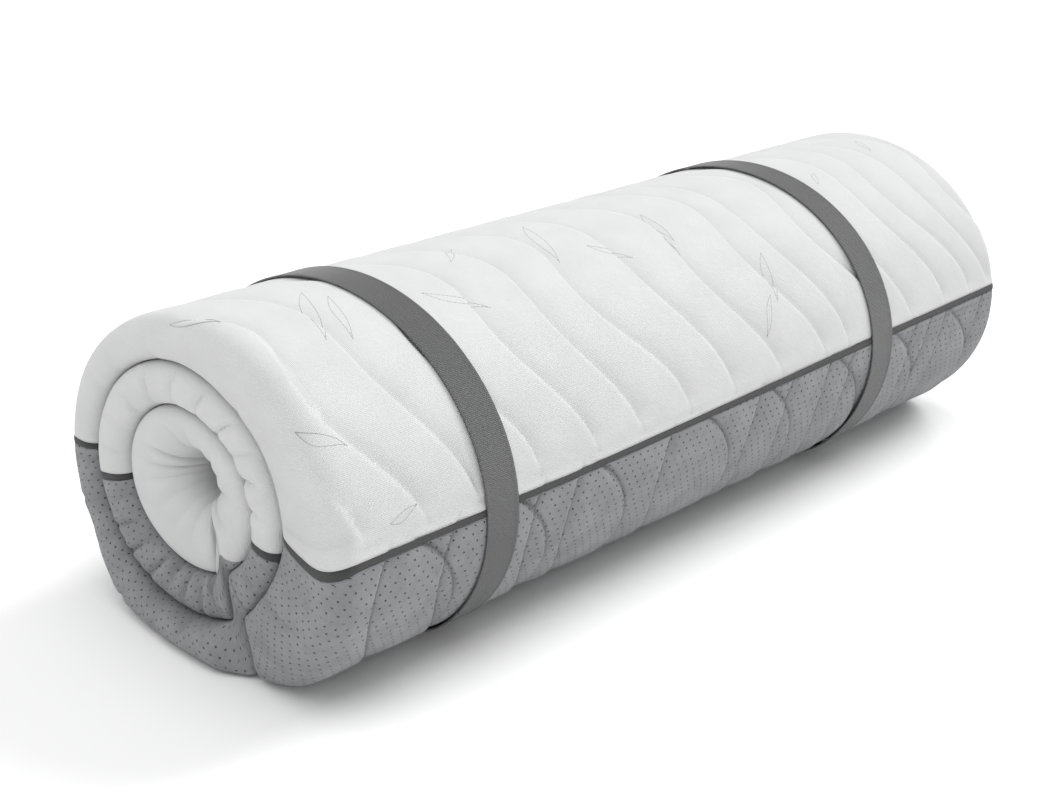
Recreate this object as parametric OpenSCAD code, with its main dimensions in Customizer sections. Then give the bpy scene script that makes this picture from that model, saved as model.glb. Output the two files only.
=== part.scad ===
// Rolled memory foam mattress: a two-layer foam slab in a sleeve of quilted cover panels, wound
// into a roll that lies on the floor and is held by two elastic straps.
// X runs along the roll, Z is up, and the origin is on the floor under the roll's centre.

/* [Roll] */
// Length of the roll, which is the width of the mattress
roll_length = 1000; // [800:10:1200]
// Width of the roll as it lies
roll_width = 376; // [360:2:400]
// Height of the roll above its centre line
rise = 164; // [156:1:172]
// Depth of the roll's flat underside below its centre line
drop = 136; // [130:1:140]

/* [Cover] */
// Thickness of the quilted cover
cover_t = 4; // [3:0.5:5]
// Width of the flat binding over each seam
binding_w = 8; // [5:0.5:10]
// Thickness of the jersey liner round the foam
liner_t = 0.8; // [0.6:0.1:1]
// Share of the foam's thickness that is memory foam
memory_share = 0.42; // [0.3:0.02:0.6]

/* [Straps] */
// Distance of the near strap's centre from the middle of the roll
near_strap_x = -330; // [-360:5:-300]
// Distance of the far strap's centre from the middle of the roll
far_strap_x = 254; // [220:5:300]
// Width of the elastic webbing
strap_w = 38; // [30:1:50]
// Thickness of the elastic webbing
strap_t = 1.8; // [1.2:0.1:2.4]

/* [Zip] */
// Length of the zip along the mattress's outer end
zip_length = 940; // [700:10:960]
// Width of the two tapes together
tape_w = 13; // [11:0.5:14]

/* [Hidden] */

white = [0.94, 0.94, 0.93];
grey = [0.55, 0.56, 0.59];
dark_grey = [0.25, 0.25, 0.27];
strap_grey = [0.33, 0.33, 0.35];
foam_cream = [0.93, 0.89, 0.78];
foam_blue = [0.78, 0.84, 0.88];
steel = [0.7, 0.7, 0.72];

// Free space between a strap and the roll, so that the strap can slide
strap_gap = 0.4;
// Free space between pieces that lie on each other
gap = 0.2;
// Height of the roll's centre line above the floor: the roll lies on the straps
centre_z = drop + strap_gap + strap_t;

// Surfaces between the turns, from the outside in, each an ellipse as
// [centre y, centre z, half width, half height] from the roll's centre line
inner_surfaces = [[28, 3, 123, 113], [23, 6, 84, 73], [2, 23, 18, 20]];
hub = [inner_surfaces[0][0], inner_surfaces[0][1]];

// The winding is measured in degrees from the mattress's outer end, which lies under the roll
tail_angle = 224;
// Stretch of each turn over which the slab steps in by one layer
step_in = 14;
tail_start = -9;
core_end = 1058;
facet = 5;

// Seams between the cover panels, in degrees of winding
seam_outer_front = 50;
seam_outer_back = 224;
seam_inner_front = 396;
seam_inner_back = 595;
seam_core = 725;
seam_gap = 0.06;
// Winding that one millimetre of binding takes on the outer and on the second turn
outer_deg_per_mm = 0.33;
inner_deg_per_mm = 0.50;
// Winding that the cover's closing walls take at the mattress's two ends
tail_wall = 1.6;
core_wall = 12;
// How far the inside of an open sleeve is cut beyond its ends, so that it stays open
open_margin = 1;

function smooth(u) = u * u * (3 - 2 * u);
function unit(v) = v / norm(v);
function along(angle) = [cos(angle), sin(angle)];

// Distance from point p in direction d to the roll's outer ellipse
function reach(p, d) =
    let (a = roll_width / 2, b = rise,
         qa = pow(d.x / a, 2) + pow(d.y / b, 2),
         qb = 2 * (p.x * d.x / (a * a) + p.y * d.y / (b * b)),
         qc = pow(p.x / a, 2) + pow(p.y / b, 2) - 1)
    (sqrt(qb * qb - 4 * qa * qc) - qb) / (2 * qa);

// A direction that falls less than this misses the floor, at a distance that never counts
level = -0.05;
never = 100000;
// Distance from point p in direction d to a level plane a given depth below the centre line
function fall(p, d, depth) = d.y < level ? (depth + p.y) / -d.y : never;

// The roll's outer outline: an ellipse that settles onto a flat underside in a rounded bend
bend_power = 16;
bend_depth = drop + 3;
function outline(angle) =
    let (d = along(angle),
         rounded = pow(pow(reach(hub, d), -bend_power) + pow(fall(hub, d, bend_depth), -bend_power),
                       -1 / bend_power))
    hub + min(rounded, fall(hub, d, drop)) * d;

function inner_surface(k, angle) =
    let (e = inner_surfaces[k], d = along(angle),
         r = e[2] * e[3] / sqrt(pow(e[3] * d.x, 2) + pow(e[2] * d.y, 2)))
    [e[0], e[1]] + r * d;

function turn_surface(k, angle) = k < 1 ? outline(angle) : inner_surface(min(k, 3) - 1, angle);

// Point of the slab's outer face after a given winding
function face(winding) =
    let (k = floor(winding / 360),
         left = 360 * (k + 1) - winding,
         mix = winding < 0 || left > step_in ? 0 : smooth(1 - left / step_in),
         angle = tail_angle - winding)
    (1 - mix) * turn_surface(k, angle) + mix * turn_surface(k + 1, angle);

function across(winding) = unit(face(winding + 360) - face(winding));
// Step in degrees over which a curve's direction is taken
nudge = 0.2;
// Normal of the face towards the middle of the roll: the gap between turns is measured along it
function inward(winding) =
    let (v = face(winding + nudge) - face(winding - nudge)) [v.y, -v.x] / norm(v);
function from_outside(winding, depth) =
    face(winding) + gap / 2 * inward(winding) + (depth - gap / 2) * across(winding);
function from_inside(winding, depth) =
    face(winding + 360) - gap / 2 * inward(winding + 360) - (depth - gap / 2) * across(winding);
function share(winding, u, shift) =
    (1 - u) * face(winding) + u * face(winding + 360) + shift * across(winding);
// Every turn is cut at the same angles, finely where it steps in, so that turns lie flush
turn_windings = concat([for (a = [0:facet:360 - step_in - 1]) a], [for (a = [360 - step_in:2:359]) a]);
function windings(start, end) =
    concat([start],
           [for (k = [-1:3], a = turn_windings) if (360 * k + a > start + 0.5 && 360 * k + a < end - 0.5)
               360 * k + a],
           [end]);
function back(list) = [for (i = [len(list) - 1:-1:0]) list[i]];

// Closed section of the slab between two windings, a given depth inside its faces
function slab_section(start, end, depth) =
    let (w = windings(start, end))
    concat([for (s = w) from_outside(s, depth)], [for (s = back(w)) from_inside(s, depth)]);

// Carries a section, drawn as Y and Z from the centre line, along X
module lay(length, x = 0)
    translate([x - length / 2, 0, centre_z]) rotate([90, 0, 90]) linear_extrude(length) children();

// A stretch of the cover: a flat sleeve round the slab, closed at the mattress's own ends
module sleeve(start, end, closed_start = false, closed_end = false) {
    cut_start = closed_start ? start + tail_wall : start - open_margin;
    cut_end = closed_end ? end - core_wall : end + open_margin;
    difference() {
        lay(roll_length) polygon(slab_section(start, end, gap / 2));
        lay(roll_length - 2 * cover_t) polygon(slab_section(cut_start, cut_end, gap / 2 + cover_t));
    }
}

module binding(seam, deg_per_mm) {
    half = binding_w * deg_per_mm / 2;
    sleeve(seam - half + seam_gap, seam + half - seam_gap);
}

half_outer = binding_w * outer_deg_per_mm / 2;
half_inner = binding_w * inner_deg_per_mm / 2;

module cover_tail_grey() color(grey)
    sleeve(tail_start, seam_outer_front - half_outer, closed_start = true);

module cover_outer_white() color(white)
    sleeve(seam_outer_front + half_outer, seam_outer_back - half_outer);

module cover_outer_grey() color(grey)
    sleeve(seam_outer_back + half_outer, seam_inner_front - half_inner);

module cover_inner_white() color(white)
    sleeve(seam_inner_front + half_inner, seam_inner_back - half_inner);

module cover_inner_grey() color(grey)
    sleeve(seam_inner_back + half_inner, seam_core - seam_gap);

module cover_core_white() color(white)
    sleeve(seam_core + seam_gap, core_end, closed_end = true);

module binding_outer_front() color(dark_grey) binding(seam_outer_front, outer_deg_per_mm);
module binding_outer_back() color(dark_grey) binding(seam_outer_back, outer_deg_per_mm);
module binding_inner_front() color(dark_grey) binding(seam_inner_front, inner_deg_per_mm);
module binding_inner_back() color(dark_grey) binding(seam_inner_back, inner_deg_per_mm);

// The foam and its liner start where the slab has its full height, behind the tapered end
liner_depth = gap / 2 + cover_t + gap;
foam_depth = liner_depth + liner_t + gap;
liner_start = -4;
liner_end = core_end - 14;
liner_wall_start = 0.5;
liner_wall_end = 2;
foam_start = liner_start + 2 * liner_wall_start;
foam_end = liner_end - 2 * liner_wall_end;
liner_length = roll_length - 2 * (cover_t + gap);
foam_length = liner_length - 2 * (liner_t + gap);

module foam_liner() color(white)
    difference() {
        lay(liner_length) polygon(slab_section(liner_start, liner_end, liner_depth));
        lay(foam_length + 2 * gap)
            polygon(slab_section(liner_start + liner_wall_start, liner_end - liner_wall_end,
                                 liner_depth + liner_t));
    }

foam_windings = windings(foam_start, foam_end);

module memory_foam() color(foam_cream)
    lay(foam_length) polygon(concat(
        [for (s = foam_windings) from_outside(s, foam_depth)],
        [for (s = back(foam_windings)) share(s, memory_share, 0)]));

module support_foam() color(foam_blue)
    lay(foam_length) polygon(concat(
        [for (s = foam_windings) share(s, memory_share, gap)],
        [for (s = back(foam_windings)) from_inside(s, foam_depth)]));

// The zip closes the tail: its frame has X along the face's height and Y out of the face
tail_low = face(tail_start);
tail_high = face(tail_start + 360);
tail_up = unit(tail_high - tail_low);
tail_angle_up = atan2(tail_up.y, tail_up.x);
module on_tail(length, x = 0)
    lay(length, x) translate((tail_low + tail_high) / 2) rotate(tail_angle_up) children();

tape_t = 0.6;
chain_w = 3.6;
chain_t = 1.6;
stop_length = 5;
slider_length = 11;
slider_wall = 1.2;
slider_gap = 0.3;
chain_gap = 0.1;
chain_base = gap + tape_t + chain_gap;
stop_proud = 0.4;

// Rectangle centred across the tail's face, between two distances out of it
module band(width, low, high) translate([-width / 2, -high]) square([width, high - low]);

module zip_tape() color(grey) on_tail(zip_length) band(tape_w, gap, gap + tape_t);

module zip_chain() color(dark_grey)
    on_tail(zip_length - 2 * stop_length - 1) band(chain_w, chain_base, chain_base + chain_t);

module zip_stops() color(steel)
    for (side = [-1, 1])
        on_tail(stop_length, side * (zip_length - stop_length) / 2)
            band(chain_w + 1, chain_base, chain_base + chain_t + stop_proud);

module zip_slider() color(steel)
    on_tail(slider_length, (zip_length - slider_length) / 2 - stop_length - 1) {
        inside = chain_w + 2 * slider_gap;
        top = chain_base + chain_t + slider_gap;
        difference() {
            band(inside + 2 * slider_wall, chain_base + chain_gap, top + slider_wall);
            band(inside, 0, top);
        }
    }

// Straps: a webbing loop whose two ends lap over each other behind the roll
lap_low = -34;
lap_high = -14;
strap_facet = 2.5;
lap_angles = [lap_low:strap_facet:lap_high];
loop_angles = [lap_high + strap_facet:strap_facet:360 + lap_low - strap_facet];
all_angles = concat([for (a = lap_angles) a], [for (a = loop_angles) a]);

function outward(angle) =
    let (v = outline(angle + nudge) - outline(angle - nudge)) [v.y, -v.x] / norm(v);
function round_roll(angle, height) = outline(angle) + height * outward(angle);

module strap_webbing(x) color(strap_grey)
    difference() {
        lay(strap_w, x) polygon(concat(
            [for (a = lap_angles) round_roll(a, strap_gap + 2 * strap_t)],
            [for (a = loop_angles) round_roll(a, strap_gap + strap_t)]));
        lay(strap_w + 2, x) polygon([for (a = all_angles) round_roll(a, strap_gap)]);
    }

// Bar tacks: two rows of short thread stitches across the lap
tack_angles = [lap_low + 3, lap_high - 3];
tack_count = 9;
tack_length = 2.6;
tack_w = 1.2;
tack_t = 0.5;
tack_gap = 0.05;
module strap_stitching(x) color(dark_grey)
    for (a = tack_angles, i = [0:tack_count - 1]) {
        foot = round_roll(a, strap_gap + 2 * strap_t + tack_gap);
        turn = atan2(outward(a).y, outward(a).x);
        lay(tack_length, x + (i - (tack_count - 1) / 2) * strap_w / (tack_count + 1))
            translate(foot) rotate(turn) square([tack_t, tack_w]);
    }

module near_strap_webbing() strap_webbing(near_strap_x);
module near_strap_stitching() strap_stitching(near_strap_x);
module far_strap_webbing() strap_webbing(far_strap_x);
module far_strap_stitching() strap_stitching(far_strap_x);

memory_foam();
support_foam();
foam_liner();
cover_tail_grey();
cover_outer_white();
cover_outer_grey();
cover_inner_white();
cover_inner_grey();
cover_core_white();
binding_outer_front();
binding_outer_back();
binding_inner_front();
binding_inner_back();
zip_tape();
zip_chain();
zip_stops();
zip_slider();
near_strap_webbing();
near_strap_stitching();
far_strap_webbing();
far_strap_stitching();
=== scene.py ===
# Rolled memory foam mattress: the looks of the cover, its bindings, the foam inside and the straps.
# Lengths are in millimetres until a mesh is made, in the CAD frame: X along the roll, Z up.
import math

import bpy
import numpy as np
from mathutils import Matrix, Vector


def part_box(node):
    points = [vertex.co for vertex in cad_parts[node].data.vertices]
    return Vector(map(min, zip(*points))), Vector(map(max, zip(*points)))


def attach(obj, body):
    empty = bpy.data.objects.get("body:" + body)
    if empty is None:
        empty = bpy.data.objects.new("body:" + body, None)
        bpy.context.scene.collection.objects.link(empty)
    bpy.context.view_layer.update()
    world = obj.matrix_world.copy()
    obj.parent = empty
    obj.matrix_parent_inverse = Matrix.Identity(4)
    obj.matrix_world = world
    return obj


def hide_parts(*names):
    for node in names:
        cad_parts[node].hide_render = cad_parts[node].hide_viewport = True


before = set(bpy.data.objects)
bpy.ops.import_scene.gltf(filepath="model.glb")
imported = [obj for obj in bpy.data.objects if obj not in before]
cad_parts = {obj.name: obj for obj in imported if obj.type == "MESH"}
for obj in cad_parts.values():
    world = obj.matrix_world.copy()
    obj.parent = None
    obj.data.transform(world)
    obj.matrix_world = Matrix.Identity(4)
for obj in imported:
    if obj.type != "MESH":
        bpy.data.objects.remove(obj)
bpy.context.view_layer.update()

MM = 0.001


def node_span(node, axis):
    """Lowest and highest coordinate of a CAD node along an axis, in millimetres."""
    low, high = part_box(node)
    return low[axis] / MM, high[axis] / MM


# ---- the roll, as the CAD model lays it out ----
LENGTH = node_span("cover_core_white", 0)[1] * 2
WIDTH = 376
RISE = 164
DROP = 136
STRAP_GAP, STRAP_T = 0.4, 1.8
CENTRE_Z = DROP + (STRAP_GAP + STRAP_T)
INNER_SURFACES = [(28, 3, 123, 113), (23, 6, 84, 73), (2, 23, 18, 20)]  # centre and half axes in Y and Z
HUB = np.array([28.0, 3.0])
TAIL_ANGLE = 224
STEP_IN = 14
TAIL_START, CORE_END = -9, 1058
BEND_POWER, BEND_DEPTH = 16, DROP + 3
SEAM_OUTER_FRONT, SEAM_OUTER_BACK = 50, 224         # windings of the cover's seams, in degrees
SEAM_INNER_FRONT, SEAM_INNER_BACK, SEAM_CORE = 396, 595, 725
OUTER_DEG_PER_MM, INNER_DEG_PER_MM = 0.33, 0.50
BINDING_W = 8
NOSE_R, TAIL_NOSE_DEG, CORE_NOSE_DEG = 7, 2.3, 9      # rounding of the mattress's two short ends
CORE_NOSE_PAST = 9          # the soft core closes up by this winding more than its plain solid
GAP = 0.2
COVER_T = 4
LINER_T = 0.8
FOAM_END_GAP = 7            # room for the tucks between the cover's rounded edge and the foam
MEMORY_SHARE = 0.42

# ---- how the seams leave their straight lines, in degrees of winding ----
SEAM_DRIFT_MEAN, SEAM_DRIFT, SEAM_DRIFT_SPREAD = -1.9, 2.2, 26     # the front seam, along the roll
SEAM_LEVEL_FROM, SEAM_END_DROP = -250, 2.9          # level near the near end, and dropping round its edge
CORE_SEAM_OUT, CORE_SEAM_SPREAD = 13, 24            # the core's seam, across the slab
CORE_SEAM_AT = 720
BINDING_PINCH, BINDING_PINCH_SPREAD = 0.36, 6       # the outer bindings, narrower on the round face

# ---- the slab's rounded long edges, which show as the ends of the roll ----
EDGE_SHAPE = 2.45           # exponent of the edge's superellipse: 2 is an ellipse
OUTER_EDGE_REACH = 0.50     # how far the outer turn's rounding reaches along X, as a share of its thickness
OUTER_EDGE_MIN, OUTER_EDGE_MAX = 17, 44
FAR_EDGE_SHARE = 0.6        # the far end's edge is squarer
NEAR_BULGE = 20             # how far the near end swells out at the roll's underside
FRONT_BULGE = 15            # and at its front
UNDER_ANGLE, FRONT_ANGLE = math.radians(-105), math.radians(185)
FAR_BULGE, FAR_TOP_BULGE = 4, 8      # the same at the far end, all round and more at its top
FRONT_CORNER_REACH, FRONT_CORNER_SPREAD = 28, 30     # the corner is tighter by the front binding
INNER_EDGE_REACH = 17       # the same where two turns lie on each other
PRESSED_REACH = 9           # and where the slab is pressed flat, as it steps in behind a turn's start
STEPS_OUTSIDE, STEPS_INSIDE, STEP_SPREAD = (353, 713), (0, 362, 713), 14
OUTER_TURN_GROWS = 25       # windings over which the outer turn's rounding starts
OUTER_TURN_FADES = (312, 28)         # winding from which it fades, and over how far
BULGE_GROWS = 30
BULGE_FADES = (338, 13)
FRONT_BULGE_ACROSS = 0.85   # share of the slab's thickness over which the front bulge fades
OUTER_TURN_END = 340
SMALLEST_EDGE = 3
FUNNEL_REACH, FUNNEL_LEAN, FUNNEL_TOWARDS = 38, 12, 30   # the core's edge falls away into the hollow

# ---- quilting on the outer turn ----
WHITE_SEAMS = [-540, -475, -410, -340, -262, -198, -134, -57, 15, 92,
               140, 209, 262, 330, 379, 428, 480, 545, 610]
WHITE_LEAN = -0.25
WHITE_SWAY, WHITE_SWAY_PERIOD, WHITE_SWAY_START = 16, 230, 8
WHITE_SWAY_VARIES, WHITE_START_VARIES = 0.25, 10    # from seam to seam
WHITE_SHIFT = 8
WHITE_PLATEAU = 150         # distance above the front binding at which a seam is at its listed place
GREY_ARCS = [-440, -325, -218, -60, 44, 165, 275, 389]
GREY_ARC_SWEEP, GREY_ARC_LENGTH = 82, 45
GREY_DIAGONALS = [-453, -377, -272, -222, -94, 45, 100, 165, 209, 330, 360, 392, 470]
GREY_DIAGONAL_BOW, GREY_DIAGONAL_LENGTH = 17, 118
SEAM_DEPTH = 4.4
SEAM_EDGE, SEAM_RISE = 2.6, 11.5    # the cloth drops sharply into a seam and rises slowly past it
LIP, LIP_AT, LIP_WIDTH = 0.2, 6.5, 4.5      # the fullest line, just before a seam
GREY_DEPTH = 1.15           # depth of the grey panels' quilting against the white ones'
# width of the band of painted shade along each seam's crease
SEAM_SHADE_WIDTH = 1.9
SEAM_SHADE_FADE_FROM, SEAM_SHADE_FADE = 34, 26      # the painted shade along the seams fades out this near the roll's ends
BINDING_FADE = 9            # quilting is flat within about this distance of a binding
BINDING_DIP, BINDING_DIP_WIDTH = 0.7, 5     # how far the cloth dips to the tape beside it
FACE_FADE_AT, FACE_FADE = 0.9, 0.85         # quilting fades by this share on the rounded edge
LUMPS = 0.15                # slow unevenness of the outer turn


def along(angle):
    r = np.radians(angle)
    return np.stack([np.cos(r), np.sin(r)], -1)


def reach(d):
    """Distance from the hub to the roll's outer ellipse in the directions d."""
    a, b = WIDTH / 2, RISE
    qa = (d[..., 0] / a) ** 2 + (d[..., 1] / b) ** 2
    qb = 2 * (HUB[0] * d[..., 0] / a**2 + HUB[1] * d[..., 1] / b**2)
    qc = (HUB[0] / a) ** 2 + (HUB[1] / b) ** 2 - 1
    return (np.sqrt(qb**2 - 4 * qa * qc) - qb) / (2 * qa)


def fall(d, depth):
    """Distance from the hub to a level plane below the centre line, or very far where it isn't met."""
    down = np.minimum(d[..., 1], -0.05)
    return np.where(d[..., 1] < -0.05, (depth + HUB[1]) / -down, 1e5)


def outline(angle):
    """The roll's outer outline: an ellipse that settles onto a flat underside."""
    d = along(angle)
    rounded = (reach(d) ** -BEND_POWER + fall(d, BEND_DEPTH) ** -BEND_POWER) ** (-1 / BEND_POWER)
    return HUB + np.minimum(rounded, fall(d, DROP))[..., None] * d


def inner_surface(k, angle):
    cy, cz, a, b = INNER_SURFACES[k]
    d = along(angle)
    r = a * b / np.hypot(b * d[..., 0], a * d[..., 1])
    return np.array([cy, cz]) + r[..., None] * d


def turn_surface(k, angle):
    surfaces = [outline(angle)] + [inner_surface(i, angle) for i in range(3)]
    index = np.clip(k, 0, 3).astype(int)
    return np.choose(index[..., None], surfaces)


def smooth(u):
    u = np.clip(u, 0, 1)
    return u * u * (3 - 2 * u)


def fading(value, start, width):
    """1 up to a start, then down to 0 over a width."""
    return 1 - smooth((value - start) / width)


def face(winding):
    """Point of the slab's outer face, as Y and Z from the centre line, after a winding in degrees."""
    winding = np.asarray(winding, float)
    k = np.floor(winding / 360)
    left = 360 * (k + 1) - winding
    mix = np.where((winding < 0) | (left > STEP_IN), 0, smooth(1 - left / STEP_IN))[..., None]
    angle = TAIL_ANGLE - winding
    return (1 - mix) * turn_surface(k, angle) + mix * turn_surface(k + 1, angle)


# Arc length along the slab's outer face, from the front seam of the outer turn
FINE_WINDINGS = np.arange(TAIL_START - 20, CORE_END + 361, 0.5)
FINE_STEPS = np.linalg.norm(np.diff(face(FINE_WINDINGS), axis=0), axis=1)
FINE_ARC = np.concatenate([[0], np.cumsum(FINE_STEPS)])
FRONT_ARC = np.interp(SEAM_OUTER_FRONT, FINE_WINDINGS, FINE_ARC)


def arc(winding):
    return np.interp(winding, FINE_WINDINGS, FINE_ARC) - FRONT_ARC


def winding_at(s):
    """Winding at a distance along the outer face from the front seam."""
    return np.interp(s + FRONT_ARC, FINE_ARC, FINE_WINDINGS)


WHITE_SPAN = float(arc(SEAM_OUTER_BACK))


def rows_between(start, end, pitch):
    """Windings from start to end that lie about one pitch apart along the outer face."""
    count = max(3, int(round((arc(end) - arc(start)) / pitch)))
    return winding_at(np.linspace(arc(start), arc(end), count + 1))


# ---- relief of the quilted surface ----
def white_seam(x0, k, s):
    """Place along the roll of white seam k at distance s above the front binding."""
    sway = WHITE_SWAY * (1 + WHITE_SWAY_VARIES * math.sin(2.4 * k))
    phase = s - WHITE_SWAY_START + WHITE_START_VARIES * math.sin(1.7 * k)
    swayed = sway * np.cos(2 * np.pi * phase / WHITE_SWAY_PERIOD)
    return x0 + WHITE_LEAN * (s - WHITE_PLATEAU) + swayed + WHITE_SHIFT


def grey_seams(t):
    """Places along the roll of the grey seams at distance t below a binding."""
    t = np.maximum(t, 0)
    arcs = [x0 + GREY_ARC_SWEEP * (1 - np.exp(-t / GREY_ARC_LENGTH)) for x0 in GREY_ARCS]
    bow = GREY_DIAGONAL_BOW * np.sin(np.pi * t / GREY_DIAGONAL_LENGTH)
    return arcs + [x0 - bow for x0 in GREY_DIAGONALS]


def distances(curves, s, x, step=1.0):
    """Distances across each of the curves x(s) from (s, x), positive past the curve along the roll."""
    for here, next_one in curves(s, step):
        yield (x - here) / np.hypot(1, (next_one - here) / step)


def white_curves(s, step):
    return [(white_seam(x0, k, s), white_seam(x0, k, s + step)) for k, x0 in enumerate(WHITE_SEAMS)]


def grey_curves(t, step):
    return list(zip(grey_seams(t), grey_seams(t + step)))


def seam_relief(curves, s, x):
    """Height of cloth quilted along curves: a lip, a sharp drop into each seam and a slow rise past it."""
    lowest = np.zeros(np.broadcast(s, x).shape)
    for d in distances(curves, s, x):
        drop = np.where(d < 0, np.exp(-((d / SEAM_EDGE) ** 2)), np.exp(-np.maximum(d, 0) / SEAM_RISE))
        lip = LIP * np.exp(-(((d + LIP_AT) / LIP_WIDTH) ** 2))
        lowest = np.minimum(lowest, lip - SEAM_DEPTH * drop)
    return lowest


def nearest_seam(curves, s, x):
    nearest = np.full(np.broadcast(s, x).shape, 1e3)
    for d in distances(curves, s, x):
        nearest = np.minimum(nearest, np.abs(d))
    return nearest


def on_white(s):
    return (s >= 0) & (s <= WHITE_SPAN)


def past_binding(s):
    """Distance below the front or back binding on the outer turn's grey panels."""
    return np.where(s < 0, -s, s - WHITE_SPAN)


def quilting(s, x):
    """Height of the quilted surface on the outer turn, from s along the winding and x along the roll."""
    white = seam_relief(white_curves, s, x)
    grey = GREY_DEPTH * seam_relief(grey_curves, past_binding(s), x)
    to_binding = np.minimum(np.abs(s), np.abs(s - WHITE_SPAN)) - BINDING_W / 2
    fade = 1 - np.exp(-((to_binding / BINDING_FADE) ** 2))
    dip = BINDING_DIP * np.exp(-to_binding / BINDING_DIP_WIDTH)
    return np.where(on_white(s), white, grey) * fade - dip


def painted_seam_shade(s, x):
    """How near each point is to a line of quilting stitches, from 0 to 1, on the roll's round face: the
    share of painted crease shade that the cloth gets there.
    """
    white = nearest_seam(white_curves, s, x)
    grey = nearest_seam(grey_curves, past_binding(s), x)
    seam = np.where(on_white(s), white, grey)
    on_face = 1 - smooth((np.abs(x) - LENGTH / 2 + SEAM_SHADE_FADE_FROM) / SEAM_SHADE_FADE)
    return on_face * np.exp(-((seam / SEAM_SHADE_WIDTH) ** 2))


# ---- wrinkles and tucks on the roll's two ends ----
# Each tuck is (winding, where across the slab it is deepest, depth, width, slant). Across the slab, 0 is its
# outer edge and 1 its inner edge.
OUTER_TUCKS = [(8, 1.0, 2.0, 7, 0), (22, 0.8, 2.5, 6, -5), (96, 1.0, 1.2, 9, 4), (150, 1.0, 1.6, 8, 5),
               (176, 0.9, 1.8, 8, 6), (192, 0.9, 1.8, 7, 5), (208, 0.8, 1.4, 7, 3), (246, 0.3, 2.2, 4, 4),
               (262, 0.7, 1.6, 6, 3), (284, 0.2, 2.4, 5, 5), (306, 0.5, 1.6, 7, 3), (322, 0.9, 2.6, 5, 6),
               (338, 0.8, 2.0, 6, 4)]
SECOND_TUCKS = [(376, 0.3, 2.0, 5, 3), (412, 0.8, 2.2, 6, 5), (428, 0.7, 3.0, 6, 6), (442, 0.3, 2.4, 6, 6),
                (458, 0.5, 3.0, 5, 8), (478, 0.4, 2.6, 6, 8), (500, 0.4, 2.2, 5, 8), (522, 0.5, 2.4, 5, 8),
                (543, 0.8, 2.0, 6, 6), (562, 0.8, 1.6, 6, 4), (580, 0.7, 1.4, 6, 3), (606, 0.8, 1.6, 6, 3),
                (620, 0.5, 3.2, 4, 4), (634, 0.4, 3.6, 4, 5), (650, 0.6, 4.2, 5, 8), (663, 0.9, 3.0, 5, 7),
                (676, 0.7, 3.8, 4, 6), (690, 0.4, 2.6, 5, 5), (700, 0.9, 2.0, 5, 4)]
OUTER_TUCK_SCALE, SECOND_TUCK_SCALE = 1.7, 2.5
DEEPEST_TUCK = -10.5
TUCK_ACROSS = 0.42          # share of the slab's thickness that a tuck crosses
GROOVE_WIDTH, GROOVE_POWER = 0.75, 1.1      # a tuck's sharp groove, against its listed width
SWELL, SWELL_WIDTH = 0.5, 2.4               # and the fuller cloth on both sides of it
SMALLEST_RADIUS = 40
FAR_END_TURN = 3.0          # the far end's tucks are turned by this winding
CORE_FOLDS = 15
CORE_FOLD_DEPTH = 4.5


def tucks(winding, v, places, scale):
    """Relief of short creases that cross the slab's edge, at v across the slab."""
    total = np.zeros(np.broadcast(winding, v).shape)
    thickness = edge_thickness(winding)
    for place, deepest, depth, width, slant in places:
        spread = np.exp(-(((v - deepest) / TUCK_ACROSS) ** 2))
        off = (winding - place - slant * (v - 0.5)) * mm_per_degree(winding, v, thickness)
        groove = np.exp(-(np.abs(off) / (GROOVE_WIDTH * width)) ** GROOVE_POWER)
        swell = SWELL * np.exp(-((off / (SWELL_WIDTH * width)) ** 2))
        total += scale * depth * spread * (swell - groove)
    return total


def mm_per_degree(winding, v, thickness):
    """Arc length of one degree at v across the slab."""
    middle = (1 - v)[..., None] * face(winding) + v[..., None] * face(winding + 360)
    return np.radians(1) * np.maximum(np.linalg.norm(middle - HUB, axis=-1), SMALLEST_RADIUS)


def edge_thickness(winding):
    return np.linalg.norm(face(winding + 360) - face(winding), axis=-1)


def core_folds(winding, v):
    """Gathered folds that run into the hollow in the middle of the core."""
    turn = np.radians(winding)
    phase = CORE_FOLDS * turn + 1.6 * np.sin(3 * turn + 0.7) + 0.9 * np.sin(5 * turn) + 2.2 * (v - 0.6)
    fold = np.abs(np.sin(phase / 2)) ** 0.7 - 0.75
    size = 0.65 + 0.35 * np.sin(2 * turn + 1) + 0.25 * np.sin(7 * turn + 2)
    return CORE_FOLD_DEPTH * fold * size * smooth((v - 0.18) / 0.5)


def soft_lumps(s, x, size=1.0):
    """Slow unevenness of soft foam under cloth."""
    return size * (np.sin(s / 31 + 1.3 * np.sin(x / 47)) * np.sin(x / 39 + 0.8 * np.sin(s / 53)))


def end_relief(winding, v, s, x, piece):
    """Height of the cover on the rounded edges at the roll's ends."""
    mirrored = np.where(x > 0, FAR_END_TURN, 0.0)
    w = winding + mirrored
    relief = tucks(w, v, OUTER_TUCKS, OUTER_TUCK_SCALE)
    relief = relief + tucks(w, v, SECOND_TUCKS, SECOND_TUCK_SCALE)
    if piece == "core":
        relief = relief + core_folds(w, v)
    return np.maximum(relief, DEEPEST_TUCK) + soft_lumps(s, 60 * v + mirrored * 9, 0.7)


# ---- the slab's closed section ----
def near_to(winding, places, spread):
    """How near a winding is to any of the places, from 0 to 1."""
    return sum(np.exp(-(((winding - place) / spread) ** 2)) for place in places)


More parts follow.
